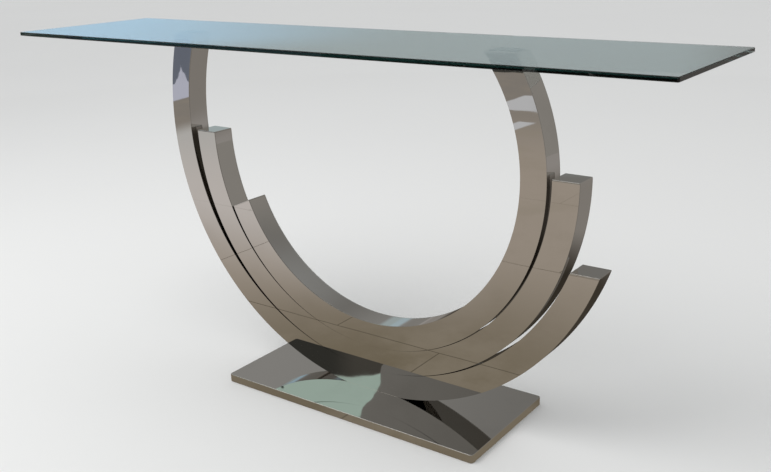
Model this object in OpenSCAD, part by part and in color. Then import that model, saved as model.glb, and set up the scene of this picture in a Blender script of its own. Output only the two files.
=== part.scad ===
// Console table: a clear glass sheet carried by three nested box-section arcs of
// mirror-polished steel, which stand on a low weighted plinth.
// X runs along the glass, Y from front to back, Z up. The origin lies on the floor
// below the middle of the glass. Millimetres.

/* [Overall] */
// Height of the glass surface above the floor
table_h = 727; // [600:1:780]
// Length of the glass top
glass_w = 1500; // [1200:10:1800]
// Depth of the glass top, front to back
glass_d = 350; // [280:5:450]

/* [Glass top] */
// Thickness of the glass sheet
glass_t = 8; // [6:1:15]
// Width of the ground arris round the glass edges
glass_arris = 1.2; // [0.5:0.1:2]
// Plan radius of the glass corners
glass_corner_r = 3; // [2:0.5:20]
// Thickness of the clear pads between the steel and the glass
glass_pad_t = 1.5; // [1:0.5:4]
// Margin left round each glass pad
glass_pad_margin = 5; // [3:0.5:10]

/* [Arcs] */
// Outer radius of the outer arc
outer_r = 527.5; // [500:0.5:640]
// How much smaller the middle arc's radius is than the hollow of the outer arc
outer_nest_gap = 21.5; // [8:0.5:40]
// How much smaller the inner arc's radius is than the hollow of the middle arc
inner_nest_gap = 10; // [4:0.5:30]
// Radial width of the box section
section_w = 51; // [46:1:62]
// Depth of the box section, front to back
section_d = 50; // [44:1:90]
// Thickness of the steel sheet that the box sections are made of
sheet_t = 2; // [1.5:0.25:3]
// Depth by which the outer arc's round is cut flat where it stands
seat_cut = 4.5; // [3:0.25:7]
// Height of the outer arc's short end above the plinth
outer_end_h = 340; // [280:5:400]
// Drop of the middle arc's two ends below its centre
middle_end_drop = 2; // [0:1:40]
// Angle of the inner arc's short end below its centre, cut square to the arc
inner_end_angle = 22.5; // [10:0.5:40]

/* [Plinth] */
// Length of the plinth
plinth_w = 612; // [480:2:760]
// Depth of the plinth, front to back
plinth_d = 262; // [200:2:340]
// Thickness of the plinth
plinth_t = 16; // [13:0.5:24]
// Thickness of the plinth's polished steel skin
skin_t = 1.5; // [1:0.25:2]
// Plan radius of the plinth corners
plinth_corner_r = 6; // [4:1:15]
// Width of the polished bevel on the plinth's top edges
plinth_bevel = 1; // [0.5:0.1:1.4]
// Gap between the ballast plate and the skin's walls
ballast_gap = 0.5; // [0.3:0.1:2]

/* [Feet] */
// Diameter of the rubber feet
foot_d = 30; // [20:1:40]
// Thickness of the rubber feet
foot_t = 2.5; // [2:0.5:4]
// Height by which the feet stand proud of the plinth
foot_proud = 1; // [0.5:0.25:1.5]
// Distance from the plinth's edges to a foot's centre
foot_inset = 34; // [25:1:60]

/* [Tie bolts] */
// Diameter of the two tie bolts
bolt_d = 8; // [8:1:10]
// Distance between the two tie bolts
bolt_pitch = 60; // [40:2:80]
// Diameter of a bolt head
bolt_head_d = 13; // [13:0.5:16]
// Height of a bolt head
bolt_head_h = 5; // [4:0.5:6]
// Width across the flats of the hexagon socket
bolt_socket = 5; // [4:0.5:6]
// Depth of the hexagon socket
bolt_socket_h = 3; // [2:0.5:3.5]
// Clearance on the diameter where a bolt passes through a piece
bolt_clear = 1; // [0.5:0.25:1.5]
// Outside diameter of a washer
washer_d = 17; // [16:0.5:22]
// Thickness of a washer
washer_t = 1.6; // [1:0.2:2.4]
// Clearance on the diameter round a washer in its counterbore
washer_clear = 2; // [1:0.5:3]
// Depth by which a bolt head lies below the ballast plate's face
head_recess = 1; // [0.5:0.5:3]
// Outside diameter of the spacer tubes inside the arcs
spacer_d = 18; // [14:1:24]
// Thickness of the seat plate that closes the flat under the outer arc
seat_plate_t = 6; // [4:0.5:9]
// Length of the threaded clamp block in the inner arc
clamp_block_l = 96; // [90:2:140]
// Thickness of the threaded clamp block
clamp_block_t = 14; // [10:1:18]
// Length of bolt that stands past the clamp block
bolt_tip = 2; // [0:0.5:5]

/* [Hidden] */
$fn = 180;

// Heights
plinth_z = foot_proud;
plinth_top = plinth_z + plinth_t;
glass_z = table_h - glass_t;
arm_top = glass_z - glass_pad_t;

middle_r = outer_r - section_w - outer_nest_gap;
inner_r = middle_r - section_w - inner_nest_gap;

// Arc centres: each arc rests in the lowest point of the one outside it
outer_z = plinth_top - seat_cut + outer_r;
middle_z = outer_z - outer_r + section_w + middle_r;
inner_z = middle_z - middle_r + section_w + inner_r;

// Half width of a circle at a height above its centre
function half_chord(r, h) = sqrt(r * r - h * h);
// Distance from an arc's centre line to the middle of a level cut
function cut_x(r, h) = (half_chord(r, h) + half_chord(r - section_w, h)) / 2;
// Width of a level cut across the section
function cut_w(r, h) = half_chord(r, h) - half_chord(r - section_w, h);

outer_arm_x = cut_x(outer_r, arm_top - outer_z);
inner_arm_x = cut_x(inner_r, arm_top - inner_z);
// The glass is centred on its two pads, so the stand is set to one side
stand_x = (outer_arm_x - inner_arm_x) / 2;

outer_end_z = plinth_top + outer_end_h - outer_z;
inner_mid_r = inner_r - section_w / 2;

// One arc: outer radius, centre height, left end and right end. An end is the place of its
// middle beside the centre and the tilt of its cut.
outer_arc = [outer_r, outer_z,
             [-outer_arm_x, arm_top - outer_z, 0],
             [cut_x(outer_r, outer_end_z), outer_end_z, 0]];
middle_arc = [middle_r, middle_z,
              [-cut_x(middle_r, middle_end_drop), -middle_end_drop, 0],
              [cut_x(middle_r, middle_end_drop), -middle_end_drop, 0]];
inner_arc = [inner_r, inner_z,
             [-inner_mid_r * cos(inner_end_angle), -inner_mid_r * sin(inner_end_angle),
              inner_end_angle],
             [inner_arm_x, arm_top - inner_z, 0]];

bolt_hole_d = bolt_d + bolt_clear;
head_z = plinth_z + head_recess;
washer_z = head_z + bolt_head_h;
shelf_z = washer_z + washer_t;
counterbore_d = washer_d + washer_clear;
clamp_z = inner_z - inner_r + sheet_t;
bolt_top = clamp_z + clamp_block_t + bolt_tip;
box_depth = section_d - 2 * sheet_t;

big = 2 * outer_r;
eps = 0.1;

steel = [0.66, 0.64, 0.61];
steel_shade = [0.52, 0.50, 0.47];
zinc = [0.60, 0.61, 0.63];

// ---- helpers ----

// Draws a shape of the XZ plane as a slab whose front face lies at y
module slab(y, depth) {
    translate([0, y + depth, 0]) rotate([90, 0, 0]) linear_extrude(depth) children();
}

module ring(r_out, r_in) {
    difference() {
        circle(r_out);
        circle(r_in);
    }
}

// Direction along an end's cut, and the direction square to it that points out of the arc
function along(end) = [cos(end[2]), sin(end[2])];
function outward(end) = [-sin(end[2]), cos(end[2])];
// The middle of an end's cut, below the sheet that caps it
function wall_end(end) = [end[0], end[1]] - sheet_t * outward(end);

// The part of an arc's circle that is left open between the ends of its walls
module open_part(arc) {
    left = arc[2];
    right = arc[3];
    polygon([wall_end(left) - along(left) * 2 * section_w,
             wall_end(left) + along(left) * 1.5 * section_w,
             [0, 0],
             wall_end(right) - along(right) * 1.5 * section_w,
             wall_end(right) + along(right) * 2 * section_w,
             [big, big], [-big, big]]);
}

// A band of an arc's walls between two depths below its outer radius, in the XZ plane
module band(arc, from, to) {
    translate([stand_x, arc[1]]) difference() {
        ring(arc[0] - from, arc[0] - to);
        open_part(arc);
    }
}

// Everything below the flat on which the outer arc stands
module below_seat() {
    translate([stand_x - big, plinth_top - big]) square([2 * big, big]);
}

// The sheet that closes an end: it lies on the ends of the four walls
module end_cap(arc, end) {
    slab(-section_d / 2, section_d) translate([stand_x, arc[1]]) intersection() {
        ring(arc[0], arc[0] - section_w);
        translate([end[0], end[1]]) rotate(end[2])
            translate([-section_w, -sheet_t]) square([2 * section_w, sheet_t]);
    }
}

// Makes the front or the back plate of an arc from the plate's outline
module plate(front) {
    slab(front ? -section_d / 2 : section_d / 2 - sheet_t, sheet_t) children();
}

module rim(arc) {
    slab(-box_depth / 2, box_depth) band(arc, 0, sheet_t);
}

module throat(arc) {
    slab(-box_depth / 2, box_depth) band(arc, section_w - sheet_t, section_w);
}

// Places its children at each tie bolt
module at_bolts() {
    for (side = [-1, 1]) translate([stand_x + side * bolt_pitch / 2, 0, 0]) children();
}

// Clearance holes for both tie bolts, over the whole height of the stand
module bolt_holes() {
    at_bolts() cylinder(d = bolt_hole_d, h = bolt_top + eps);
}

module plan(w, d, r) {
    square([w - 2 * r, d], center = true);
    square([w, d - 2 * r], center = true);
    for (x = [-1, 1], y = [-1, 1]) translate([x * (w / 2 - r), y * (d / 2 - r)]) circle(r);
}

// Cross-section of a sheet with bevelled top edges, and bevelled bottom edges if low is set
module bevelled_profile(w, h, bevel, low) {
    b = low ? bevel : 0;
    polygon([[-w / 2 + b, 0], [w / 2 - b, 0], [w / 2, b], [w / 2, h - bevel],
             [w / 2 - bevel, h], [-w / 2 + bevel, h], [-w / 2, h - bevel], [-w / 2, b]]);
}

module bevelled_sheet(w, d, h, r, bevel, low) {
    intersection() {
        linear_extrude(h) plan(w, d, r);
        slab(-d / 2 - eps, d + 2 * eps) bevelled_profile(w, h, bevel, low);
        rotate(90) slab(-w / 2 - eps, w + 2 * eps) bevelled_profile(d, h, bevel, low);
    }
}

// A spacer tube round each bolt, coped to an arc's curved throat
module spacers(arc, foot_h) {
    difference() {
        at_bolts() translate([0, 0, foot_h]) cylinder(d = spacer_d, h = section_w);
        bolt_holes();
        translate([stand_x, 0, arc[1]]) rotate([90, 0, 0])
            cylinder(r = arc[0] - section_w + sheet_t, h = section_d, center = true);
    }
}

// ---- glass ----

module glass_top() {
    color([0.62, 0.74, 0.72, 0.45]) translate([0, 0, glass_z])
        bevelled_sheet(glass_w, glass_d, glass_t, glass_corner_r, glass_arris, true);
}

module glass_pad(x, w) {
    pad_w = w - 2 * glass_pad_margin;
    pad_d = section_d - 2 * glass_pad_margin;
    color([0.85, 0.88, 0.88, 0.6])
        translate([x - pad_w / 2, -pad_d / 2, arm_top]) cube([pad_w, pad_d, glass_pad_t]);
}

module left_glass_pad() {
    glass_pad(stand_x - outer_arm_x, cut_w(outer_r, arm_top - outer_z));
}

module right_glass_pad() {
    glass_pad(stand_x + inner_arm_x, cut_w(inner_r, arm_top - inner_z));
}

// ---- outer arc ----

module outer_plate_outline() {
    difference() {
        band(outer_arc, 0, section_w);
        below_seat();
    }
}

module outer_front_plate() {
    color(steel) plate(true) outer_plate_outline();
}

module outer_back_plate() {
    color(steel) plate(false) outer_plate_outline();
}

// The flat seat parts the outer wall into a left and a right strip
module outer_rim_strips() {
    color(steel_shade) slab(-box_depth / 2, box_depth) difference() {
        band(outer_arc, 0, sheet_t);
        below_seat();
    }
}

module outer_throat_strip() {
    color(steel_shade) difference() {
        throat(outer_arc);
        bolt_holes();
    }
}

module outer_top_cap() {
    color(steel) end_cap(outer_arc, outer_arc[2]);
}

module outer_end_cap() {
    color(steel) end_cap(outer_arc, outer_arc[3]);
}

// Closes the flat between the two rim strips
module outer_seat_plate() {
    color(steel) difference() {
        slab(-box_depth / 2, box_depth) intersection() {
            translate([stand_x, outer_z]) circle(outer_r - sheet_t);
            translate([stand_x - outer_r, plinth_top]) square([2 * outer_r, seat_plate_t]);
        }
        bolt_holes();
    }
}

// ---- middle arc ----

module middle_front_plate() {
    color(steel) plate(true) band(middle_arc, 0, section_w);
}

module middle_back_plate() {
    color(steel) plate(false) band(middle_arc, 0, section_w);
}

module middle_rim_strip() {
    color(steel_shade) difference() {
        rim(middle_arc);
        bolt_holes();
    }
}

module middle_throat_strip() {
    color(steel_shade) difference() {
        throat(middle_arc);
        bolt_holes();
    }
}

module middle_left_cap() {
    color(steel) end_cap(middle_arc, middle_arc[2]);
}

module middle_right_cap() {
    color(steel) end_cap(middle_arc, middle_arc[3]);
}

// ---- inner arc ----

module inner_front_plate() {
    color(steel) plate(true) band(inner_arc, 0, section_w);
}

module inner_back_plate() {
    color(steel) plate(false) band(inner_arc, 0, section_w);
}

module inner_rim_strip() {
    color(steel_shade) difference() {
        rim(inner_arc);
        bolt_holes();
    }
}

module inner_throat_strip() {
    color(steel_shade) throat(inner_arc);
}

module inner_end_cap() {
    color(steel) end_cap(inner_arc, inner_arc[2]);
}

module inner_top_cap() {
    color(steel) end_cap(inner_arc, inner_arc[3]);
}

// ---- plinth ----

module plinth_skin() {
    color(steel) difference() {
        translate([stand_x, 0, plinth_z])
            bevelled_sheet(plinth_w, plinth_d, plinth_t, plinth_corner_r, plinth_bevel, false);
        translate([stand_x, 0, plinth_z - eps]) linear_extrude(plinth_t - skin_t + eps)
            plan(plinth_w - 2 * skin_t, plinth_d - 2 * skin_t, plinth_corner_r - skin_t);
        bolt_holes();
    }
}

module ballast_plate() {
    inset = skin_t + ballast_gap;
    color("dimgray") difference() {
        translate([stand_x, 0, plinth_z]) linear_extrude(plinth_t - skin_t)
            plan(plinth_w - 2 * inset, plinth_d - 2 * inset, plinth_corner_r - skin_t);
        at_bolts() translate([0, 0, plinth_z - eps])
            cylinder(d = counterbore_d, h = shelf_z - plinth_z + eps);
        bolt_holes();
        at_feet() translate([0, 0, -eps]) cylinder(d = foot_d, h = foot_t + eps);
    }
}

// Places its children at the four corners of the plinth, on the floor
module at_feet() {
    for (x = [-1, 1], y = [-1, 1])
        translate([stand_x + x * (plinth_w / 2 - foot_inset), y * (plinth_d / 2 - foot_inset), 0])
            children();
}

module rubber_feet() {
    color([0.12, 0.12, 0.12]) at_feet() cylinder(d = foot_d, h = foot_t);
}

// ---- tie bolts ----

module tie_bolts() {
    color(zinc) at_bolts() difference() {
        union() {
            translate([0, 0, head_z]) cylinder(d = bolt_head_d, h = bolt_head_h);
            translate([0, 0, head_z]) cylinder(d = bolt_d, h = bolt_top - head_z);
        }
        translate([0, 0, head_z - eps])
            cylinder(d = bolt_socket / cos(30), h = bolt_socket_h + eps, $fn = 6);
    }
}

module tie_washers() {
    color(zinc) at_bolts() translate([0, 0, washer_z]) difference() {
        cylinder(d = washer_d, h = washer_t);
        translate([0, 0, -eps]) cylinder(d = bolt_hole_d, h = washer_t + 2 * eps);
    }
}

module outer_spacers() {
    color(zinc) spacers(outer_arc, plinth_top + seat_plate_t);
}

// The middle spacers are coped at both ends
module middle_spacers() {
    color(zinc) intersection() {
        spacers(middle_arc, middle_z - middle_r + eps);
        translate([stand_x, 0, middle_z]) rotate([90, 0, 0])
            cylinder(r = middle_r - sheet_t, h = section_d, center = true);
    }
}

// Threaded bar that both bolts screw into, shaped to the inner arc's curved rim
module clamp_block() {
    color(zinc) difference() {
        slab(-box_depth / 2, box_depth) intersection() {
            translate([stand_x, inner_z]) circle(inner_r - sheet_t);
            translate([stand_x - clamp_block_l / 2, clamp_z])
                square([clamp_block_l, clamp_block_t]);
        }
        at_bolts() cylinder(d = bolt_d, h = bolt_top + eps);
    }
}

glass_top();
left_glass_pad();
right_glass_pad();
outer_front_plate();
outer_back_plate();
outer_rim_strips();
outer_throat_strip();
outer_top_cap();
outer_end_cap();
outer_seat_plate();
middle_front_plate();
middle_back_plate();
middle_rim_strip();
middle_throat_strip();
middle_left_cap();
middle_right_cap();
inner_front_plate();
inner_back_plate();
inner_rim_strip();
inner_throat_strip();
inner_end_cap();
inner_top_cap();
plinth_skin();
ballast_plate();
rubber_feet();
tie_bolts();
tie_washers();
outer_spacers();
middle_spacers();
clamp_block();
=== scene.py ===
"""The looks of the console table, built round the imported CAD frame. Metres, X along the glass, Z up."""
import math

import bmesh
import bpy
from mathutils import Matrix, Vector


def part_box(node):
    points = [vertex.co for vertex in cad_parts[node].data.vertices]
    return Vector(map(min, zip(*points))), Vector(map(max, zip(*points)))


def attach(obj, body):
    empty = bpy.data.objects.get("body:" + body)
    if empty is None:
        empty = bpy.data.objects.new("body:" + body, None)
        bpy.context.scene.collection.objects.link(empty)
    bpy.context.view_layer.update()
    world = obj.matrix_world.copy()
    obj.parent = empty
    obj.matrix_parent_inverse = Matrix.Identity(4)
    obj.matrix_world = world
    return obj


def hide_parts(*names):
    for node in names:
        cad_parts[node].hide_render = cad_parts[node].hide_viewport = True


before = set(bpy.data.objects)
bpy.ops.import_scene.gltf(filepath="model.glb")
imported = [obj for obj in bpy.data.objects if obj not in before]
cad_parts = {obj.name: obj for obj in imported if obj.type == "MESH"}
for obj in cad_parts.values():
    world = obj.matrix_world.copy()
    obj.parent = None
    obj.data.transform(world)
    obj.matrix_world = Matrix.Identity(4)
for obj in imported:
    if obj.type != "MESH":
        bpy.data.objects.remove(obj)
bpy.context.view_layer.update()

MM = 0.001
BODY = "root"


# ---- finishing sizes that the frame leaves open ----

# Arcs
WALL_EDGE = 0.8 * MM          # polished radius along the corners of the box sections
SEAM_EDGE = 0.35 * MM         # small bevel on each side of the seam under an end cap
ROUND_STEPS = 3               # facets round a polished edge
ARC_STEP = math.radians(1)    # turn between two sections of a swept wall
CUT_SPARE = math.radians(4)   # stretch of wall past each end, cut off again
GAP_SHADE_FADE = 12 * MM            # depth at which the space between two arcs is fully rough and fully darkened with painted shade
UNDERSIDE_SHADE_TOP = 110 * MM      # height over the plinth above which the outer arc's underside has no painted shade or extra roughness
UNDERSIDE_SHADE_FADE = 50 * MM      # height over which its painted shade and roughness grow

# Plinth
PLINTH_EDGE = 1.0 * MM        # polished radius on the top edges
PLINTH_CORNER = 6 * MM        # plan radius of the corners
BALLAST_GAP = 0.5 * MM        # gap between the ballast plate and the polished skin

# Glass and its pads
GLASS_CORNER = 3 * MM
GLASS_ARRIS = 1.2 * MM
PAD_CORNER = 4 * MM
PAD_EDGE = 0.4 * MM
PAD_FILM = 0.05 * MM          # film of glue between a pad and the face that it is bonded to

# Fixings and feet
BOLT_D = 8 * MM
BOLT_HOLE = 9 * MM
BOLT_SOCKET = 5 * MM          # hexagon socket, across its flats
BOLT_SOCKET_H = 3 * MM
BOLT_CHAMFER = 0.5 * MM
THREAD_PITCH = 1.25 * MM
THREAD_DEPTH = 0.7 * MM
THREAD_L = 34 * MM
THREAD_TURN_STEPS = 4         # sections in one turn of the thread
WASHER_ROLL = 0.3 * MM        # radius of a washer's rolled upper edge
FOOT_D = 30 * MM
FOOT_GROOVE = 0.5 * MM        # depth of the grip grooves
FOOT_LIP = 0.4 * MM           # what a groove's sloped side adds to the diameter
LOOP_STEPS = 48               # points round a bolt, a washer or a foot


# ---- sizes read from the frame ----

def low(node):
    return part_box(node)[0]


def high(node):
    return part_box(node)[1]


stand_x = (low("plinth_skin").x + high("plinth_skin").x) / 2
section_d = high("middle_back_plate").y - low("middle_front_plate").y
sheet_t = high("middle_front_plate").y - low("middle_front_plate").y
section_w = low("middle_throat_strip").z - low("middle_rim_strip").z + sheet_t
plinth_top = high("plinth_skin").z


class Arc:
    """One arc of box section: its radius, its centre and the cuts at its ends."""

    def __init__(self, name, radius, lowest, left_cap, right_cap):
        self.name = name
        self.radius = radius
        self.centre = Vector((stand_x, 0, lowest + radius))
        self.left_cap = left_cap
        self.right_cap = right_cap
        self.left = self.cut_of(left_cap)
        self.right = self.cut_of(right_cap)

    def cut_of(self, cap):
        """The middle of a cap's upper face, and the direction that it faces."""
        below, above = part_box(cap)
        middle = (below + above) / 2
        height = above.z - below.z
        if height < 1.5 * sheet_t:
            return Vector((middle.x, 0, above.z)), Vector((0, 0, 1))
        side = Vector((middle.x - self.centre.x, 0, middle.z - self.centre.z)).normalized()
        facing = Vector((side.z, 0, -side.x)) * math.copysign(1, -side.x)
        if facing.z < 0:
            facing = -facing
        return Vector((middle.x, 0, middle.z)) + facing * sheet_t / 2, facing

    def angle_at(self, cut):
        """The angle, from the lowest point, at which the outer wall reaches a cut."""
        point = cut[0] - self.centre
        return math.atan2(point.x, -point.z)


middle_radius = (high("middle_rim_strip").x - low("middle_rim_strip").x) / 2
inner_radius = high("inner_rim_strip").x - stand_x
outer_radius = stand_x - low("outer_rim_strips").x
outer_lowest = low("outer_throat_strip").z - section_w + sheet_t
head_d = high("tie_bolts").y - low("tie_bolts").y
bolt_pitch = high("tie_bolts").x - low("tie_bolts").x - head_d
BOLT_SPOTS = [Vector((stand_x + side * bolt_pitch / 2, 0, 0)) for side in (-1, 1)]
ARCS = [
    Arc("outer", outer_radius, outer_lowest, "outer_top_cap", "outer_end_cap"),
    Arc("middle", middle_radius, low("middle_rim_strip").z, "middle_left_cap", "middle_right_cap"),
    Arc("inner", inner_radius, low("inner_rim_strip").z, "inner_end_cap", "inner_top_cap"),
]


# ---- camera, floor and light ----

def aimed_camera():
    """The camera of the reference view: level turn, tilt down and a slight roll."""
    turn, tilt, roll = math.radians(34.844), math.radians(16.013), math.radians(-1.436)
    right = Vector((math.cos(turn), math.sin(turn), 0))
    ahead = Vector((-math.sin(turn) * math.cos(tilt), math.cos(turn) * math.cos(tilt), -math.sin(tilt)))
    above = right.cross(ahead)
    rolled_right = math.cos(roll) * right + math.sin(roll) * above
    rolled_above = math.cos(roll) * above - math.sin(roll) * right
    data = bpy.data.cameras.new("camera")
    data.sensor_width = 36
    data.lens = 43.63
    data.shift_x = -0.0553
    data.shift_y = -0.0499
    data.clip_end = 60
    camera = bpy.data.objects.new("camera", data)
    place = Matrix((rolled_right, rolled_above, -ahead)).transposed().to_4x4()
    place.translation = Vector((1.1782, -1.3813, 0.9235))
    camera.matrix_world = place
    bpy.context.scene.collection.objects.link(camera)
    bpy.context.scene.camera = camera


# ---- node helpers ----

def add_node(tree, kind, settings, sockets):
    """Adds a node: its settings first, then the values or links of its sockets."""
    node = tree.nodes.new(kind)
    for name, value in settings.items():
        setattr(node, name, value)
    for key, value in sockets.items():
        if isinstance(value, Wire):
            value = value.socket
        if isinstance(value, bpy.types.NodeSocket):
            tree.links.new(value, node.inputs[key])
        else:
            node.inputs[key].default_value = value
    return node


class Wire:
    """A shader socket that joins in Python sums: each sum adds a Math node."""

    def __init__(self, recipe, socket):
        self.recipe = recipe
        self.socket = socket

    def math(self, operation, left, right):
        return self.recipe.add("ShaderNodeMath", {"operation": operation}, {0: left, 1: right})

    def __add__(self, other):
        return self.math("ADD", self, other)

    def __sub__(self, other):
        return self.math("SUBTRACT", self, other)

    def __rsub__(self, other):
        return self.math("SUBTRACT", other, self)

    def __mul__(self, other):
        return self.math("MULTIPLY", self, other)

    def __truediv__(self, other):
        return self.math("DIVIDE", self, other)

    def __pow__(self, other):
        return self.math("POWER", self, other)

    def __abs__(self):
        return self.recipe.add("ShaderNodeMath", {"operation": "ABSOLUTE"}, {0: self})

    __radd__ = __add__
    __rmul__ = __mul__


class Recipe:
    """The node tree of one material."""

    def __init__(self, name, shader="ShaderNodeBsdfPrincipled"):
        self.material = bpy.data.materials.new(name)
        self.material.use_nodes = True
        self.tree = self.material.node_tree
        self.tree.nodes.clear()
        self.output = self.tree.nodes.new("ShaderNodeOutputMaterial")
        self.shader = self.tree.nodes.new(shader)
        self.tree.links.new(self.shader.outputs[0], self.output.inputs["Surface"])
        self.place = self.add("ShaderNodeTexCoord", {}, {}, "Object")

    def add(self, kind, settings, sockets, out=0):
        return Wire(self, add_node(self.tree, kind, settings, sockets).outputs[out])

    def set(self, **values):
        """Sets or links the shader's own sockets, named with underscores for spaces."""
        for name, value in values.items():
            socket = self.shader.inputs[name.replace("_", " ")]
            if isinstance(value, Wire):
                self.tree.links.new(value.socket, socket)
            else:
                socket.default_value = value

    def noise(self, scale, detail=2.0, rough=0.5, place=None, offset=0.0):
        """Noise from 0 to 1. An offset moves it, so that two of one scale don't run together."""
        return self.add("ShaderNodeTexNoise", {"normalize": True}, {
            "Vector": self.moved(place or self.place, offset), "Scale": scale, "Detail": detail,
            "Roughness": rough}, "Fac")

    def moved(self, place, offset):
        shift = (offset, 0.7 * offset, 1.3 * offset)
        return self.add("ShaderNodeVectorMath", {"operation": "ADD"}, {0: place, 1: shift})

    def stretched(self, scale):
        """Object coordinates with their own scale on each axis, for brushed and drawn patterns."""
        return self.add("ShaderNodeVectorMath", {"operation": "MULTIPLY"}, {0: self.place, 1: scale})

    def step(self, value, start, stop):
        """0 below start and 1 above stop, with a soft turn between."""
        sockets = {"Value": value, "From Min": start, "From Max": stop}
        return self.add("ShaderNodeMapRange", {"interpolation_type": "SMOOTHSTEP"}, sockets)

    def band(self, value, start, stop, soft):
        """1 from start to stop and 0 outside, with soft turns."""
        begun = self.step(value, start - soft, start + soft)
        ended = self.step(value, stop - soft, stop + soft)
        return begun * (1 - ended)

    def mix(self, factor, dark, light):
        """The dark colour where the factor is 0, and the light one where it is 1."""
        settings = {"data_type": "RGBA"}
        return self.add("ShaderNodeMix", settings, {0: factor, 6: colour(dark), 7: colour(light)}, 2)

    def axis(self, name, place=None):
        return self.add("ShaderNodeSeparateXYZ", {}, {0: place or self.place}, name)

    def bump(self, *layers):
        """Stacks bump nodes. A layer is a height and the distance that a height of 1 stands for."""
        normal = None
        for height, distance in layers:
            sockets = {"Height": height, "Distance": distance, "Strength": 1.0}
            if normal:
                sockets["Normal"] = normal
            normal = self.add("ShaderNodeBump", {}, sockets)
        self.set(Normal=normal)


def colour(value):
    """A colour socket's value: a plain colour gets its alpha, and a wire stays a wire."""
    return (*value, 1) if isinstance(value, tuple) else value


# ---- materials ----

def mirror_steel():
    """Stainless steel, polished to a mirror: slight waves in the sheet, smudges, and a few pits."""
    steel = Recipe("mirror_polished_steel")
    gap = steel.add("ShaderNodeAttribute", {"attribute_name": "gap"}, {}, "Fac")
    smudge = steel.step(steel.noise(9, 4, 0.6), 0.50, 0.72)
    haze = steel.step(steel.noise(38, 3, 0.55, offset=3.1), 0.45, 0.80)
    cells = {"Vector": steel.place, "Scale": 34.0, "Randomness": 1.0}
    to_cell = steel.add("ShaderNodeTexVoronoi", {"feature": "F1"}, cells, "Distance")
    cell_tint = steel.add("ShaderNodeTexVoronoi", {"feature": "F1"}, cells, "Color")
    chosen = steel.step(steel.axis("X", cell_tint), 0.80, 0.82)
    pit = (1 - steel.step(to_cell, 0.012, 0.030)) * chosen
    rough = 0.012 + smudge * 0.018 + haze * 0.010 + pit * 0.35 + gap * 0.05
    tone = steel.mix(smudge, (0.665, 0.650, 0.625), (0.640, 0.625, 0.600))
    tone = steel.mix(pit, tone, (0.16, 0.14, 0.12))
    # Darker where the strips face the next arc or lie low over the plinth: painted shade. The extra
    # roughness there is thinner polish.
    tone = steel.mix(gap, tone, (0.40, 0.385, 0.36))
    waves = steel.noise(7, 1.0, 0.4, offset=1.7)
    ripple = steel.noise(30, 1.0, 0.4, offset=5.3)
    steel.set(Base_Color=tone, Roughness=rough, Metallic=1.0)
    steel.bump((waves, 0.16 * MM), (ripple, 0.016 * MM), (pit, -0.05 * MM))
    return steel.material


def ground_steel():
    """Plain steel, ground bright with a coarse belt, and oiled."""
    steel = Recipe("ground_plain_steel")
    lines = steel.noise(1.0, 3, 0.6, place=steel.stretched((60, 1600, 1600)))
    stain = steel.step(steel.noise(22, 4, 0.6, offset=2.0), 0.5, 0.75)
    tone = steel.mix(lines, (0.36, 0.35, 0.34), (0.52, 0.51, 0.49))
    tone = steel.mix(stain * 0.5, tone, (0.26, 0.22, 0.17))
    steel.set(Base_Color=tone, Roughness=0.32 + lines * 0.14 + stain * 0.1, Metallic=0.95)
    steel.bump((lines, 0.02 * MM))
    return steel.material


def mill_steel():
    """Hot-rolled ballast plate: blue-grey mill scale, patches of rust and scratches."""
    steel = Recipe("hot_rolled_steel")
    scale = steel.noise(14, 5, 0.62)
    rust = steel.step(steel.noise(26, 5, 0.7, offset=4.4), 0.58, 0.72)
    scratch = steel.step(steel.noise(1.0, 2, 0.5, place=steel.stretched((18, 900, 300))), 0.70, 0.76)
    tone = steel.mix(scale, (0.055, 0.058, 0.065), (0.13, 0.13, 0.135))
    tone = steel.mix(rust, tone, (0.17, 0.075, 0.035))
    tone = steel.mix(scratch, tone, (0.34, 0.33, 0.32))
    steel.set(Base_Color=tone, Roughness=0.48 + rust * 0.35 - scratch * 0.15, Metallic=0.85 - rust * 0.8)
    steel.bump((scale, 0.12 * MM), (rust, 0.06 * MM), (scratch, -0.03 * MM))
    return steel.material


def zinc_plate():
    """Bright zinc plating, a little blue and cloudy."""
    zinc = Recipe("zinc_plated_steel")
    cloud = zinc.noise(160, 4, 0.6)
    spangle = zinc.noise(900, 2, 0.5, offset=2.6)
    tone = zinc.mix(cloud, (0.50, 0.52, 0.56), (0.68, 0.69, 0.70))
    zinc.set(Base_Color=tone, Roughness=0.24 + cloud * 0.18 + spangle * 0.06, Metallic=1.0)
    zinc.bump((spangle, 0.008 * MM))
    return zinc.material


def clear_glass():
    """Float glass: green in its depth, faint dust and streaks on its faces, and a ground arris."""
    glass = Recipe("clear_float_glass")
    arris = glass.add("ShaderNodeAttribute", {"attribute_name": "ground"}, {}, "Fac")
    dust = glass.step(glass.noise(420, 2, 0.6), 0.66, 0.74)
    streak = glass.step(glass.noise(1.0, 3, 0.6, place=glass.stretched((3, 11, 11))), 0.55, 0.80)
    rough = 0.004 + streak * 0.010 + dust * 0.05 + arris * 0.42
    tone = glass.mix(arris, (1.0, 1.0, 1.0), (0.93, 0.97, 0.96))
    glass.set(Base_Color=tone, Roughness=rough, IOR=1.52, Transmission_Weight=1.0)
    ground = glass.noise(2600, 2, 0.6, offset=1.2) * arris
    glass.bump((glass.noise(2.2, 0, 0.4), 0.05 * MM), (ground, 0.02 * MM))
    depth = add_node(glass.tree, "ShaderNodeVolumeAbsorption", {}, {
        "Color": (0.0, 0.364, 0.345, 1), "Density": 11.0})
    glass.tree.links.new(depth.outputs[0], glass.output.inputs["Volume"])
    return glass.material


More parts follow.
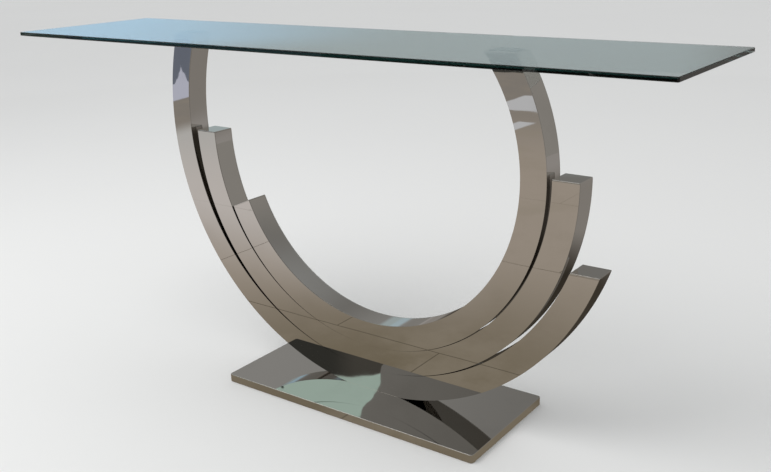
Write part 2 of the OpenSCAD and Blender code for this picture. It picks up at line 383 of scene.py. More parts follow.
def clear_pad():
    """Clear silicone pad, slightly milky, with trapped bubbles."""
    pad = Recipe("clear_silicone_pad")
    bubble = pad.step(pad.noise(700, 1, 0.5), 0.68, 0.72)
    cloud = pad.noise(60, 3, 0.5)
    tone = pad.mix(cloud, (0.80, 0.86, 0.84), (0.90, 0.94, 0.92))
    rough = 0.16 + bubble * 0.3 + cloud * 0.1
    pad.set(Base_Color=tone, Roughness=rough, IOR=1.41, Transmission_Weight=0.82)
    pad.bump((bubble, 0.05 * MM))
    return pad.material


def black_rubber():
    """Moulded black rubber with a fine grain, dusty on its worn faces."""
    rubber = Recipe("moulded_black_rubber")
    grain = rubber.noise(1500, 3, 0.6)
    dust = rubber.step(rubber.noise(70, 4, 0.6, offset=3.3), 0.52, 0.75)
    tone = rubber.mix(grain, (0.012, 0.012, 0.012), (0.028, 0.027, 0.026))
    tone = rubber.mix(dust * 0.5, tone, (0.10, 0.095, 0.085))
    rubber.set(Base_Color=tone, Roughness=0.62 + dust * 0.2 + grain * 0.08)
    rubber.bump((grain, 0.05 * MM))
    return rubber.material


# ---- stage: what the camera sees round the object, and what the polish reflects ----

FLOOR_R = 30.0        # pale floor of the stage
ROOM_R = 4.5          # shell of the reflected room
TILE = 0.6            # stone tiles of the room's floor
TILE_JOINT = 1.6 * MM
TILE_ROW_Y = -0.27    # a joint between two rows, in front of the plinth


def stage_floor():
    """Plain pale floor. The polish and the glass show the floor of the room instead of it."""
    paint = Recipe("pale_floor")
    tone = paint.mix(paint.noise(0.7, 2), (0.80, 0.80, 0.79), (0.82, 0.82, 0.81))
    paint.set(Base_Color=tone, Roughness=0.9, Specular_IOR_Level=0.1)
    floor = flat_disc("stage_floor", FLOOR_R, 0.0, paint.material)
    floor.visible_glossy = False
    floor.visible_transmission = False


def flat_disc(name, radius, height, material):
    """A round floor, marked as part of the stage."""
    mesh = bpy.data.meshes.new(name)
    bm = bmesh.new()
    bmesh.ops.create_circle(bm, cap_ends=True, segments=96, radius=radius)
    bm.to_mesh(mesh)
    bm.free()
    mesh.transform(Matrix.Translation((0, 0, height)))
    mesh.materials.append(material)
    disc = bpy.data.objects.new(name, mesh)
    bpy.context.scene.collection.objects.link(disc)
    return disc


def only_reflected(obj):
    """Hides an object from the camera and keeps its light off: the polish and the glass show it."""
    obj.visible_camera = False
    obj.visible_diffuse = False
    obj.visible_shadow = False
    obj.visible_volume_scatter = False


def room_floor():
    """The taupe stone floor that the polish reflects, a glowing disc painted with the room's light and
    shade: darker brown by the plinth in its painted shade, in shade behind it, and with a streak of window
    light to the front left. Through the glass it is pale near the table."""
    paint = Recipe("room_floor", "ShaderNodeEmission")
    x = paint.axis("X") - stand_x
    y = paint.axis("Y")
    away = (x * x + y * y) ** 0.5
    # Darker brown close round the plinth: painted shade of the table, lighter further out
    tone = paint.mix(paint.step(away, 0.10, 1.05), (0.208, 0.175, 0.122), (0.432, 0.377, 0.322))
    tone = paint.mix(paint.step(away, 1.8, 3.6), tone, (0.29, 0.265, 0.24))
    cloud = paint.noise(3.5, 5, 0.65, offset=0.9)
    tone = paint.mix(paint.step(cloud, 0.42, 0.72) * 0.45, tone, (0.370, 0.325, 0.265))

    # The streak widens away from the table and ends in a point, with a pale blue band beyond it
    along = -0.72 * x - 0.70 * y
    across = abs(0.70 * x - 0.72 * y)
    streak = paint.step(0 - y, 0.28, 0.92) * (1 - paint.step(across - 0.28 * along, -0.05, 0.30))
    streak = streak * (1 - paint.step(along + 1.3 * across, 3.50, 3.90))
    window_light = paint.mix(paint.step(along, 1.6, 3.4), (0.67, 0.63, 0.61), (0.56, 0.56, 0.55))
    tone = paint.mix(streak, tone, window_light)
    far_window = paint.step(along + 1.3 * across, 4.64, 4.70) * (1 - paint.step(across, 0.76, 0.80))
    tone = paint.mix(far_window, tone, (0.57, 0.59, 0.71))

    # Two small pale patches, to the front
    far_patch = paint.band(0 - y, 2.93, 3.33, 0.01) * paint.band(x, -1.46, -1.12, 0.01)
    near_patch = paint.band(0 - y, 2.47, 2.69, 0.01) * paint.band(x, -1.14, -1.05, 0.01)
    tone = paint.mix(far_patch + near_patch, tone, (0.62, 0.63, 0.66))

    # Tiles in a half bond: their joints fade with the distance
    lay = paint.add("ShaderNodeVectorMath", {"operation": "SUBTRACT"}, {
        0: paint.place, 1: (stand_x + TILE / 2, TILE_ROW_Y, 0)})
    joint = paint.add("ShaderNodeTexBrick", {"offset": 0.5, "offset_frequency": 2}, {
        "Vector": lay, "Scale": 1.0, "Mortar Size": TILE_JOINT, "Mortar Smooth": 0.1,
        "Brick Width": TILE, "Row Height": TILE}, "Fac")
    near = 1 - paint.step(away, 1.1, 1.9)
    tone = paint.mix(joint * near * 0.75, tone, (0.10, 0.085, 0.06))

    # Shade under and behind the table, and the lighter floor beyond it
    tone = paint.mix(paint.step(y, 0.06, 0.28), tone, (0.050, 0.042, 0.032))
    tone = paint.mix(paint.step(y, 0.52, 0.85), tone, (0.275, 0.255, 0.235))
    tone = paint.mix(paint.step(y, 1.4, 2.6), tone, (0.345, 0.325, 0.310))

    # Seen through the glass, the floor near the table is pale like the stage
    through_glass = paint.add("ShaderNodeLightPath", {}, {}, "Is Transmission Ray")
    pale = through_glass * (1 - paint.step(away, 1.2, 3.6))
    tone = paint.mix(pale, tone, (0.70, 0.70, 0.69))
    paint.set(Color=tone, Strength=1.0)
    disc = flat_disc("room_floor", ROOM_R, -1 * MM, paint.material)
    only_reflected(disc)


def room_shell():
    """The walls and ceiling that the polish reflects, a glowing sphere painted with the room's light and
    shade: grey, with a window to the back left, a garden window to the front left, dark furniture low down
    and a ceiling lamp. Heights go from 0 at the floor to 1 at the top, and turns are in degrees from X."""
    paint = Recipe("room_shell", "ShaderNodeEmission")
    x = paint.axis("X") / ROOM_R
    y = paint.axis("Y") / ROOM_R
    z = paint.axis("Z") / ROOM_R
    turn = y.math("ARCTAN2", y, x) * math.degrees(1)

    # Plain walls: darker to the left, lighter at the ceiling and behind to the right
    wall = paint.mix(paint.step(x, -0.70, -0.30), (0.30, 0.295, 0.285), (0.205, 0.20, 0.19))
    wall = paint.mix(paint.step(z, 0.60, 0.95), wall, (0.40, 0.41, 0.41))
    wall = paint.mix(1 - paint.step(z, 0.12, 0.20), wall, (0.25, 0.24, 0.225))
    right_back = paint.band(turn, 20, 75, 12) * (1 - paint.step(z, 0.35, 0.75))
    wall = paint.mix(right_back, wall, (0.30, 0.285, 0.265))

    # Window to the back left: blue low down and pale above
    blue = paint.step(turn, 122, 150) * (1 - paint.step(z, 0.255, 0.285))
    sky = paint.mix(blue, (0.40, 0.465, 0.475), (0.50, 0.72, 0.90))
    wall = paint.mix(paint.band(turn, 96, 172, 6) * paint.band(z, 0.19, 0.35, 0.025), wall, sky)

    # Furniture, with pale things on it
    furniture = paint.band(turn, -134, -92, 3) * paint.band(z, -0.08, 0.07, 0.02)
    wall = paint.mix(furniture, wall, (0.05, 0.05, 0.045))
    glint = paint.step(paint.noise(7.0, 2, 0.5, offset=4.1), 0.60, 0.62)
    wall = paint.mix(furniture * glint, wall, (0.66, 0.66, 0.63))
    cabinet = paint.band(turn, 66, 92, 3) * paint.band(z, -0.08, 0.05, 0.02)
    wall = paint.mix(cabinet, wall, (0.09, 0.085, 0.08))

    # Low pane to the front left: pale, with a dark hedge that leaves a peak free
    ripple = paint.noise(0.9, 3, 0.6, offset=0.6) - 0.5
    twigs = paint.noise(5.0, 4, 0.65, offset=1.9) - 0.5
    front_left = paint.band(turn + 26 * ripple, -150, -129, 0.04)
    hedge = paint.step(z + 0.05 * twigs + 0.05 * abs(turn + 142.65), 0.026, 0.029)
    pane = paint.mix(hedge, (0.57, 0.59, 0.71), (0.17, 0.19, 0.24))
    wall = paint.mix(front_left * (1 - paint.step(z, 0.10, 0.12)), wall, pane)

    # High pane over a dark frame: green light between leaves and a branch
    leaves = paint.step(paint.noise(1.6, 4, 0.6, offset=2.2), 0.585, 0.595)
    branch = 1 - paint.step(abs(paint.noise(1.1, 2, 0.4, offset=7.7) - 0.5), 0.005, 0.008)
    covered = leaves + branch - leaves * branch
    pane = paint.mix(covered, (0.61, 0.80, 0.74), (0.05, 0.055, 0.05))
    sill = z + 0.10 * ripple
    frame_tone = paint.mix(paint.step(turn, -148, -141), (0.155, 0.150, 0.135), (0.055, 0.055, 0.05))
    frame_tone = paint.mix(paint.step(turn, -132, -129), frame_tone, (0.10, 0.095, 0.085))
    wall = paint.mix(front_left * paint.band(sill, 0.36, 0.437, 0.0008), wall, frame_tone)
    wall = paint.mix(front_left * paint.band(sill, 0.438, 0.58, 0.0008), wall, pane)

    lamp = paint.band(turn, -165, -105, 8) * paint.band(z, 0.64, 0.86, 0.03)
    wall = paint.mix(lamp, wall, (1.7, 1.68, 1.62))
    paint.set(Color=wall, Strength=1.0)
    mesh = bpy.data.meshes.new("room_shell")
    bm = bmesh.new()
    bmesh.ops.create_uvsphere(bm, u_segments=96, v_segments=48, radius=ROOM_R)
    bm.to_mesh(mesh)
    bm.free()
    mesh.materials.append(paint.material)
    shell = bpy.data.objects.new("room_shell", mesh)
    bpy.context.scene.collection.objects.link(shell)
    only_reflected(shell)


def soft_light():
    """An even pale sky, and a large soft lamp over the front left that the polish doesn't show."""
    world = bpy.data.worlds.new("soft_sky")
    bpy.context.scene.world = world
    world.use_nodes = True
    sky = world.node_tree.nodes["Background"]
    sky.inputs["Color"].default_value = (0.98, 0.99, 1.0, 1)
    sky.inputs["Strength"].default_value = 0.80
    data = bpy.data.lights.new("softbox", "AREA")
    data.shape = "DISK"
    data.size = 2.6
    data.energy = 45
    lamp = bpy.data.objects.new("softbox", data)
    lamp.location = (-1.2, -1.6, 3.0)
    lamp.rotation_euler = (Vector((0, 0, 0.3)) - lamp.location).to_track_quat("-Z", "Y").to_euler()
    lamp.visible_glossy = False
    lamp.visible_transmission = False
    bpy.context.scene.collection.objects.link(lamp)


# ---- geometry trees ----

def new_tree(name, inputs):
    """A geometry tree with named inputs: returns it and the node that gives their sockets."""
    tree = bpy.data.node_groups.new(name, "GeometryNodeTree")
    for label, kind in inputs.items():
        tree.interface.new_socket(label, in_out="INPUT", socket_type=kind)
    tree.interface.new_socket("Geometry", in_out="OUTPUT", socket_type="NodeSocketGeometry")
    return tree, tree.nodes.new("NodeGroupInput").outputs


def close_tree(tree, geometry, material):
    """Ends a tree: real mesh instead of instances, and the material on it."""
    real = add_node(tree, "GeometryNodeRealizeInstances", {}, {"Geometry": geometry})
    painted = add_node(tree, "GeometryNodeSetMaterial", {}, {
        "Geometry": real.outputs[0], "Material": material})
    output = tree.nodes.new("NodeGroupOutput")
    tree.links.new(painted.outputs[0], output.inputs["Geometry"])
    return tree


def wall_tree():
    """One wall of an arc: a flat bar swept round part of a circle, its outer corners rounded."""
    tree, given = new_tree("arc_wall", {
        "Radius": "NodeSocketFloat", "Start": "NodeSocketFloat", "Sweep": "NodeSocketFloat",
        "Steps": "NodeSocketInt", "Thickness": "NodeSocketFloat", "Depth": "NodeSocketFloat",
        "Edge": "NodeSocketFloat", "Rounded side": "NodeSocketFloat", "Edge steps": "NodeSocketInt",
        "Centre": "NodeSocketVector", "Material": "NodeSocketMaterial"})
    path = add_node(tree, "GeometryNodeCurveArc", {"mode": "RADIUS"}, {
        "Resolution": given["Steps"], "Radius": given["Radius"],
        "Start Angle": given["Start"], "Sweep Angle": given["Sweep"]})
    bar = add_node(tree, "GeometryNodeCurvePrimitiveQuadrilateral", {"mode": "RECTANGLE"}, {
        "Width": given["Thickness"], "Height": given["Depth"]})
    place = add_node(tree, "GeometryNodeInputPosition", {}, {})
    across = add_node(tree, "ShaderNodeSeparateXYZ", {}, {0: place.outputs[0]})
    side = add_node(tree, "ShaderNodeMath", {"operation": "MULTIPLY"}, {
        0: across.outputs["Y"], 1: given["Rounded side"]})
    outer = add_node(tree, "ShaderNodeMath", {"operation": "GREATER_THAN"}, {0: side.outputs[0], 1: 0.0})
    radius = add_node(tree, "ShaderNodeMath", {"operation": "MULTIPLY"}, {
        0: outer.outputs[0], 1: given["Edge"]})
    rounded = add_node(tree, "GeometryNodeFilletCurve", {"mode": "POLY"}, {
        "Curve": bar.outputs[0], "Count": given["Edge steps"], "Radius": radius.outputs[0]})
    swept = add_node(tree, "GeometryNodeCurveToMesh", {}, {
        "Curve": path.outputs[0], "Profile Curve": rounded.outputs[0], "Fill Caps": True})
    upright = add_node(tree, "GeometryNodeTransform", {}, {
        "Geometry": swept.outputs[0], "Translation": given["Centre"], "Rotation": (math.pi / 2, 0, 0)})
    return close_tree(tree, upright.outputs[0], given["Material"])


def copies_tree():
    """Copies of one fixing, in a row along X or in rows along X and Y."""
    tree, given = new_tree("copies", {
        "Fixing": "NodeSocketObject", "First": "NodeSocketVector", "Count X": "NodeSocketInt",
        "Step X": "NodeSocketVector", "Count Y": "NodeSocketInt", "Step Y": "NodeSocketVector",
        "Material": "NodeSocketMaterial"})
    row = add_node(tree, "GeometryNodeMeshLine", {"mode": "OFFSET"}, {
        "Count": given["Count X"], "Start Location": given["First"], "Offset": given["Step X"]})
    column = add_node(tree, "GeometryNodeMeshLine", {"mode": "OFFSET"}, {
        "Count": given["Count Y"], "Offset": given["Step Y"]})
    rows = add_node(tree, "GeometryNodeInstanceOnPoints", {}, {
        "Points": column.outputs[0], "Instance": row.outputs[0]})
    spots = add_node(tree, "GeometryNodeRealizeInstances", {}, {"Geometry": rows.outputs[0]})
    fixing = add_node(tree, "GeometryNodeObjectInfo", {"transform_space": "ORIGINAL"}, {
        "Object": given["Fixing"]})
    copies = add_node(tree, "GeometryNodeInstanceOnPoints", {}, {
        "Points": spots.outputs[0], "Instance": fixing.outputs["Geometry"]})
    return close_tree(tree, copies.outputs[0], given["Material"])


def grown(name, tree, values):
    """Runs a geometry tree with the given inputs and returns its plain mesh object."""
    holder = bpy.data.objects.new(name, bpy.data.meshes.new(name))
    bpy.context.scene.collection.objects.link(holder)
    modifier = holder.modifiers.new("grow", "NODES")
    modifier.node_group = tree
    for item in tree.interface.items_tree:
        if item.in_out == "INPUT":
            modifier[item.identifier] = values[item.name]
    return baked(holder)


def baked(obj):
    """Replaces an object's modifiers by the mesh that they make."""
    bpy.context.view_layer.update()
    depsgraph = bpy.context.evaluated_depsgraph_get()
    mesh = bpy.data.meshes.new_from_object(obj.evaluated_get(depsgraph), depsgraph=depsgraph)
    obj.modifiers.clear()
    worn = obj.data
    obj.data = mesh
    bpy.data.meshes.remove(worn)
    mesh.name = obj.name
    return obj


# ---- mesh helpers ----

def polished(obj, limit=40):
    """Smooth shading that keeps the flats flat and the polished edges round."""
    obj.data.shade_smooth()
    obj.data.set_sharp_from_angle(angle=math.radians(limit))
    weighted = obj.modifiers.new("weighted", "WEIGHTED_NORMAL")
    weighted.keep_sharp = True
    weighted.weight = 100
    return baked(obj)


def stands_for(piece, slot, *nodes):
    """The piece replaces CAD nodes, with their body. Its slot argument is not used."""
    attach(piece, BODY)
    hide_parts(*nodes)


def cut_away(obj, point, facing, part=None):
    """Cuts off what lies on the facing side of a plane, closes the cut and eases its edges."""
    bm = bmesh.new()
    bm.from_mesh(obj.data)
    faces = [f for f in bm.faces if part is None or part(f.calc_center_median())]
    edges = {e for f in faces for e in f.edges}
    verts = {v for f in faces for v in f.verts}
    bmesh.ops.bisect_plane(bm, geom=faces + list(edges) + list(verts), dist=1e-7,
                           plane_co=point, plane_no=facing, clear_outer=True)
    bmesh.ops.remove_doubles(bm, verts=bm.verts, dist=1e-7)
    rim = [e for e in bm.edges if e.is_boundary]
    bmesh.ops.holes_fill(bm, edges=rim, sides=0)
    ends = [f for f in bm.faces if abs((f.calc_center_median() - point).dot(facing)) < 1e-6]
    loops = list({e for f in ends for e in f.edges})
    bmesh.ops.bevel(bm, geom=loops, offset=SEAM_EDGE, segments=1, affect="EDGES", clamp_overlap=True)
    bmesh.ops.recalc_face_normals(bm, faces=bm.faces)
    bm.to_mesh(obj.data)
    bm.free()


def new_object(name, bm, material):
    mesh = bpy.data.meshes.new(name)
    bmesh.ops.recalc_face_normals(bm, faces=bm.faces)
    bm.to_mesh(mesh)
    bm.free()
    mesh.materials.append(material)
    obj = bpy.data.objects.new(name, mesh)
    bpy.context.scene.collection.objects.link(obj)
    return obj


def plan_loop(width, depth, corner, steps=8):
    """Points of a rectangle with rounded corners, round its middle."""
    points = []
    for quarter in range(4):
        sx = (1, -1, -1, 1)[quarter]
        sy = (1, 1, -1, -1)[quarter]
        for step in range(steps + 1):
            angle = math.pi / 2 * (quarter + step / steps)
            x = sx * (width / 2 - corner) + corner * math.cos(angle)
            y = sy * (depth / 2 - corner) + corner * math.sin(angle)
            points.append((x, y))
    return points


def turned_loop(reach_at):
    """Points round the middle, each as far out as reach_at gives for its part of a turn."""
    points = []
    for step in range(LOOP_STEPS):
        part = step / LOOP_STEPS
        reach = reach_at(part)
        angle = 2 * math.pi * part
        points.append((reach * math.cos(angle), reach * math.sin(angle)))
    return points


def round_loop(diameter):
    return turned_loop(lambda part: diameter / 2)


def hexagon_loop(across):
    """A hexagon of a width across its flats."""
    def reach_at(part):
        from_flat = (6 * part + 0.5) % 1 - 0.5
        return across / 2 / math.cos(from_flat * math.pi / 3)
    return turned_loop(reach_at)


def thread_loop(diameter, height):
    """A screw thread's section at a height: the crest turns as the height grows."""
    def reach_at(part):
        phase = (height / THREAD_PITCH - part) % 1
        return diameter / 2 - THREAD_DEPTH * abs(2 * phase - 1)
    return turned_loop(reach_at)


def lofted(bm, middle, loops, ring=False):
    """Joins plan loops, each with its height. The first and the last are closed, or joined as a ring."""
    rings = []
    for points, height in loops:
        rings.append([bm.verts.new((middle.x + x, middle.y + y, height)) for x, y in points])
    count = len(rings[0])
    if ring:
        rings.append(rings[0])
    else:
        bm.faces.new(rings[0])
        bm.faces.new(rings[-1])
    for lower, upper in zip(rings, rings[1:]):
        for i in range(count):
            j = (i + 1) % count
            bm.faces.new((lower[i], lower[j], upper[j], upper[i]))


def sheet_loops(below, above, corner, edge, steps=8):
    """Plan loops of a flat sheet with bevelled edges, above and below."""
    size = above - below
    inner = plan_loop(size.x - 2 * edge, size.y - 2 * edge, corner - edge, steps)
    outer = plan_loop(size.x, size.y, corner, steps)
    return [(inner, below.z), (outer, below.z + edge), (outer, above.z - edge), (inner, above.z)]


def with_bolt_holes(obj, bottom, top):
    """Drills the two bolt holes through a piece, from one height to another."""
    bm = bmesh.new()
    for spot in BOLT_SPOTS:
        place = Matrix.Translation((spot.x, spot.y, (bottom + top) / 2))
        bmesh.ops.create_cone(bm, cap_ends=True, segments=LOOP_STEPS, radius1=BOLT_HOLE / 2,
                              radius2=BOLT_HOLE / 2, depth=top - bottom, matrix=place)
    drill = new_object("drill", bm, obj.data.materials[0])
    cut = obj.modifiers.new("drilled", "BOOLEAN")
    cut.object = drill
    cut.operation = "DIFFERENCE"
    cut.solver = "EXACT"
    baked(obj)
    bpy.data.objects.remove(drill)


# ---- pieces ----

def make_wall(arc, tree, node, radius, thickness, depth, y, rounded_side, material):
    """One wall of an arc, cut where its caps lie and where the outer arc meets the plinth."""
    left = arc.angle_at(arc.left) - CUT_SPARE
    right = arc.angle_at(arc.right) + CUT_SPARE
    down = -math.pi / 2
    wall = grown("polished_" + node, tree, {
        "Radius": radius, "Start": down + left, "Sweep": right - left,
        "Steps": int((right - left) / ARC_STEP), "Thickness": thickness, "Depth": depth,
        "Edge": WALL_EDGE, "Rounded side": rounded_side, "Edge steps": ROUND_STEPS,
        "Centre": arc.centre + Vector((0, y, 0)), "Material": material})
    for (point, facing), side in ((arc.left, -1), (arc.right, 1)):
        cut_away(wall, point - facing * sheet_t, facing, lambda p, s=side: s * (p.x - stand_x) > 0)
    if arc.name == "outer" and "throat" not in node:
        cut_away(wall, Vector((0, 0, plinth_top)), Vector((0, 0, -1)))
    return wall


def mark_gap_shade(strip, left_end, right_end):
    """Marks the stretch of a strip that faces the next arc, where the polish is thin and the steel is
    darkened with painted shade.
    """
    gap = strip.data.attributes.new("gap", "FLOAT", "POINT")
    for vertex in strip.data.vertices:
        end = left_end if vertex.co.x < stand_x else right_end
        depth = (end[0] - vertex.co).dot(end[1]) / GAP_SHADE_FADE
        gap.data[vertex.index].value = min(1.0, max(0.0, depth))


def mark_underside_shade(strip):
    """Marks the stretch close above the plinth, which a buffing wheel can't reach: rougher there, and
    darker with painted shade.
    """
    gap = strip.data.attributes.new("gap", "FLOAT", "POINT")
    for vertex in strip.data.vertices:
        reach = (plinth_top + UNDERSIDE_SHADE_TOP - vertex.co.z) / UNDERSIDE_SHADE_FADE
        gap.data[vertex.index].value = min(1.0, max(0.0, reach))


def make_arc(arc, tree, material):
    """The four walls of an arc, drilled for the bolts, and marked where they can't be buffed: rougher
    there, and darker with painted shade.
    """
    plate_y = (section_d - sheet_t) / 2
    box_d = section_d - 2 * sheet_t
    mid_radius = arc.radius - section_w / 2
    rim = "outer_rim_strips" if arc.name == "outer" else arc.name + "_rim_strip"
    throat = arc.name + "_throat_strip"
    front = make_wall(arc, tree, arc.name + "_front_plate", mid_radius, section_w, sheet_t,
                      -plate_y, 1, material)
    back = make_wall(arc, tree, arc.name + "_back_plate", mid_radius, section_w, sheet_t,
                     plate_y, -1, material)
    outside = make_wall(arc, tree, rim, arc.radius - sheet_t / 2, sheet_t, box_d, 0, 0, material)
    inside = make_wall(arc, tree, throat, arc.radius - section_w + sheet_t / 2, sheet_t, box_d,
                       0, 0, material)
    if arc.name == "outer":
        mark_underside_shade(outside)
    else:
        wider = ARCS[ARCS.index(arc) - 1]
        mark_gap_shade(outside, arc.left, wider.right)
    if arc.name != "inner":
        narrower = ARCS[ARCS.index(arc) + 1]
        mark_gap_shade(inside, narrower.left, arc.right)
    lowest = arc.centre.z - arc.radius
    middle = lowest + section_w / 2
    if arc.name != "outer":
        with_bolt_holes(outside, lowest - 2 * sheet_t, middle)
    if arc.name != "inner":
        with_bolt_holes(inside, middle, lowest + section_w + 4 * sheet_t)
    for piece, node in ((front, arc.name + "_front_plate"), (back, arc.name + "_back_plate"),
                        (outside, rim), (inside, throat)):
        stands_for(polished(piece), "mirror_steel", node)


def make_cap(arc, cut, node, material):
    """The sheet on an arc's end: its upper edges are polished round, and its seam is eased."""
    point, facing = cut
    along = Vector((facing.z, 0, -facing.x))
    corners = []
    for level in (0, -sheet_t):
        for radius in (arc.radius, arc.radius - section_w):
            start = point + facing * level - arc.centre
            middle = start.dot(along)
            spread = math.sqrt(middle * middle - start.length_squared + radius * radius)
            reach = min((-middle + spread, -middle - spread), key=abs)
            corners.append(arc.centre + start + along * reach)
    bm = bmesh.new()
    verts = [bm.verts.new(c + Vector((0, y, 0))) for y in (-section_d / 2, section_d / 2) for c in corners]
    bmesh.ops.convex_hull(bm, input=verts)
    bmesh.ops.dissolve_limit(bm, angle_limit=math.radians(2), verts=bm.verts, edges=bm.edges)

    def depth_of(edge):
        return min(-(v.co - point).dot(facing) for v in edge.verts)

    upper = [e for e in bm.edges if depth_of(e) < sheet_t / 2]
    bmesh.ops.bevel(bm, geom=upper, offset=WALL_EDGE, segments=ROUND_STEPS, profile=0.5,
                    affect="EDGES", clamp_overlap=True)
    lower = [e for e in bm.edges if depth_of(e) > sheet_t - 1e-6]
    bmesh.ops.bevel(bm, geom=lower, offset=SEAM_EDGE, segments=1, affect="EDGES", clamp_overlap=True)
    stands_for(polished(new_object("polished_" + node, bm, material)), "mirror_steel", node)


def make_plinth(material):
    """Polished skin of the plinth: an open tray, upside down, with softly rounded top edges."""
    below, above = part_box("plinth_skin")
    size = above - below
    middle = (below + above) / 2
    skin = low("ballast_plate").y - below.y - BALLAST_GAP
    hollow = plan_loop(size.x - 2 * skin, size.y - 2 * skin, PLINTH_CORNER - skin)
    loops = [(hollow, above.z - skin), (hollow, below.z),
             (plan_loop(size.x, size.y, PLINTH_CORNER), below.z)]
    for step in range(ROUND_STEPS + 1):
        angle = math.pi / 2 * step / ROUND_STEPS
        inset = PLINTH_EDGE * (1 - math.cos(angle))
        rise = PLINTH_EDGE * (1 - math.sin(angle))
        edge = plan_loop(size.x - 2 * inset, size.y - 2 * inset, PLINTH_CORNER - inset)
        loops.append((edge, above.z - rise))
    bm = bmesh.new()
    lofted(bm, middle, loops)
    plinth = new_object("polished_plinth_skin", bm, material)
    with_bolt_holes(plinth, above.z - 3 * skin, above.z + 3 * skin)
    stands_for(polished(plinth), "mirror_steel", "plinth_skin")


def make_glass(material):
    """The glass sheet: flat polished edges between two ground arrises."""
    below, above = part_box("glass_top")
    bm = bmesh.new()
    lofted(bm, (below + above) / 2, sheet_loops(below, above, GLASS_CORNER, GLASS_ARRIS, 6))
    glass = new_object("glass_sheet", bm, material)
    ground = glass.data.attributes.new("ground", "FLOAT", "FACE")
    for face in glass.data.polygons:
        sloping = 0.3 < abs(face.normal.z) < 0.9
        ground.data[face.index].value = 1.0 if sloping else 0.0
    stands_for(glass, "glass", "glass_top")


def make_pad(node, material):
    """A clear pad between an arc's top cap and the glass."""
    below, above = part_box(node)
    below.z += PAD_FILM
    above.z -= PAD_FILM
    bm = bmesh.new()
    lofted(bm, (below + above) / 2, sheet_loops(below, above, PAD_CORNER, PAD_EDGE))
    pad = new_object("soft_" + node, bm, material)
    stands_for(polished(pad, 60), "clear_pad", node)


def copied(name, slot, node, fixing, tree, material, count, step):
    """Sets copies of a fixing, drawn round the origin of X and Y, where the node's solids are."""
    below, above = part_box(node)
    middle = (below + above) / 2
    first = Vector((middle.x - step.x / 2, middle.y - step.y / 2, 0))
    piece = grown(name, tree, {
        "Fixing": fixing, "First": first, "Count X": count[0], "Step X": Vector((step.x, 0, 0)),
        "Count Y": count[1], "Step Y": Vector((0, step.y, 0)), "Material": material})
    bpy.data.objects.remove(fixing)
    stands_for(polished(piece), slot, node)


def make_bolts(tree, material):
    """Socket head bolts: a chamfered head with its hexagon socket, a plain shank and a cut thread."""
    below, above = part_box("tie_bolts")
    head_top = low("tie_washers").z
    thread_start = above.z - THREAD_L
    loops = [(hexagon_loop(BOLT_SOCKET), below.z + BOLT_SOCKET_H),
             (hexagon_loop(BOLT_SOCKET), below.z + BOLT_CHAMFER / 2),
             (round_loop(BOLT_SOCKET + 2 * BOLT_CHAMFER), below.z),
             (round_loop(head_d - 2 * BOLT_CHAMFER), below.z),
             (round_loop(head_d), below.z + BOLT_CHAMFER),
             (round_loop(head_d), head_top - BOLT_CHAMFER / 2),
             (round_loop(head_d - BOLT_CHAMFER), head_top),
             (round_loop(BOLT_D), head_top),
             (round_loop(BOLT_D), thread_start)]
    rise = THREAD_PITCH / THREAD_TURN_STEPS
    for step in range(1, int(THREAD_L / rise) - 2):
        height = thread_start + step * rise
        loops.append((thread_loop(BOLT_D, height), height))
    loops.append((round_loop(BOLT_D - 2 * THREAD_DEPTH), above.z))
    bm = bmesh.new()
    lofted(bm, Vector((0, 0, 0)), loops)
    bolt = new_object("bolt", bm, material)
    pair = Vector((bolt_pitch, 0, 0))
    copied("socket_head_bolts", "zinc_steel", "tie_bolts", bolt, tree, material, (2, 1), pair)


def make_washers(tree, material):
    """Punched washers: the upper edge is rolled, and the lower one is sharp."""
    below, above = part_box("tie_washers")
    outside = above.y - below.y
    loops = [(round_loop(BOLT_HOLE), below.z),
             (round_loop(outside), below.z),
             (round_loop(outside), above.z - WASHER_ROLL),
             (round_loop(outside - 2 * WASHER_ROLL), above.z),
             (round_loop(BOLT_HOLE + WASHER_ROLL), above.z),
             (round_loop(BOLT_HOLE), above.z - WASHER_ROLL / 2)]
    bm = bmesh.new()
    lofted(bm, Vector((0, 0, 0)), loops, ring=True)
    washer = new_object("washer", bm, material)
    pair = Vector((bolt_pitch, 0, 0))
    copied("punched_washers", "zinc_steel", "tie_washers", washer, tree, material, (2, 1), pair)


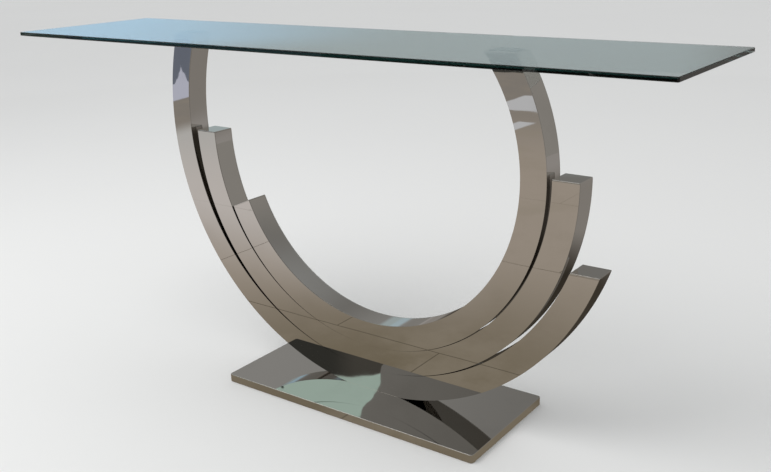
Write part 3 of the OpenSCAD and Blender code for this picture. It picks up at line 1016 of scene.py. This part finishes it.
def make_feet(tree, material):
    """Moulded rubber feet: a dished middle and two grip grooves round it, with a soft outer edge."""
    below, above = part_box("rubber_feet")
    spread = above - below - Vector((FOOT_D, FOOT_D, 0))
    groove_z = below.z + FOOT_GROOVE
    loops = [(round_loop(0.20 * FOOT_D), groove_z), (round_loop(0.26 * FOOT_D), below.z)]
    for ring_d in (0.46 * FOOT_D, 0.68 * FOOT_D):
        loops += [(round_loop(ring_d), below.z),
                  (round_loop(ring_d + FOOT_LIP), groove_z),
                  (round_loop(ring_d + 3 * FOOT_LIP), groove_z),
                  (round_loop(ring_d + 4 * FOOT_LIP), below.z)]
    loops += [(round_loop(FOOT_D - 4 * FOOT_LIP), below.z),
              (round_loop(FOOT_D - 1.2 * FOOT_LIP), below.z + FOOT_LIP / 2),
              (round_loop(FOOT_D), below.z + 1.5 * FOOT_LIP),
              (round_loop(FOOT_D), above.z)]
    bm = bmesh.new()
    lofted(bm, Vector((0, 0, 0)), loops)
    foot = new_object("foot", bm, material)
    copied("moulded_rubber_feet", "rubber", "rubber_feet", foot, tree, material, (2, 2), spread)


def finish_node(node, material):
    """Gives a CAD node that keeps its shape a finished material."""
    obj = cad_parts[node]
    obj.data.materials.clear()
    obj.data.materials.append(material)


# ---- the whole object ----

aimed_camera()
stage_floor()
room_floor()
room_shell()
soft_light()

steel = mirror_steel()
zinc = zinc_plate()
walls = wall_tree()
for arc in ARCS:
    make_arc(arc, walls, steel)
    make_cap(arc, arc.left, arc.left_cap, steel)
    make_cap(arc, arc.right, arc.right_cap, steel)
make_plinth(steel)
make_glass(clear_glass())
pad_clear = clear_pad()
make_pad("left_glass_pad", pad_clear)
make_pad("right_glass_pad", pad_clear)
fixings = copies_tree()
make_bolts(fixings, zinc)
make_washers(fixings, zinc)
make_feet(fixings, black_rubber())

bright_steel = ground_steel()
finish_node("outer_seat_plate", bright_steel)
finish_node("clamp_block", bright_steel)
finish_node("ballast_plate", mill_steel())
finish_node("outer_spacers", zinc)
finish_node("middle_spacers", zinc)

bpy.context.scene.view_settings.view_transform = "Standard"
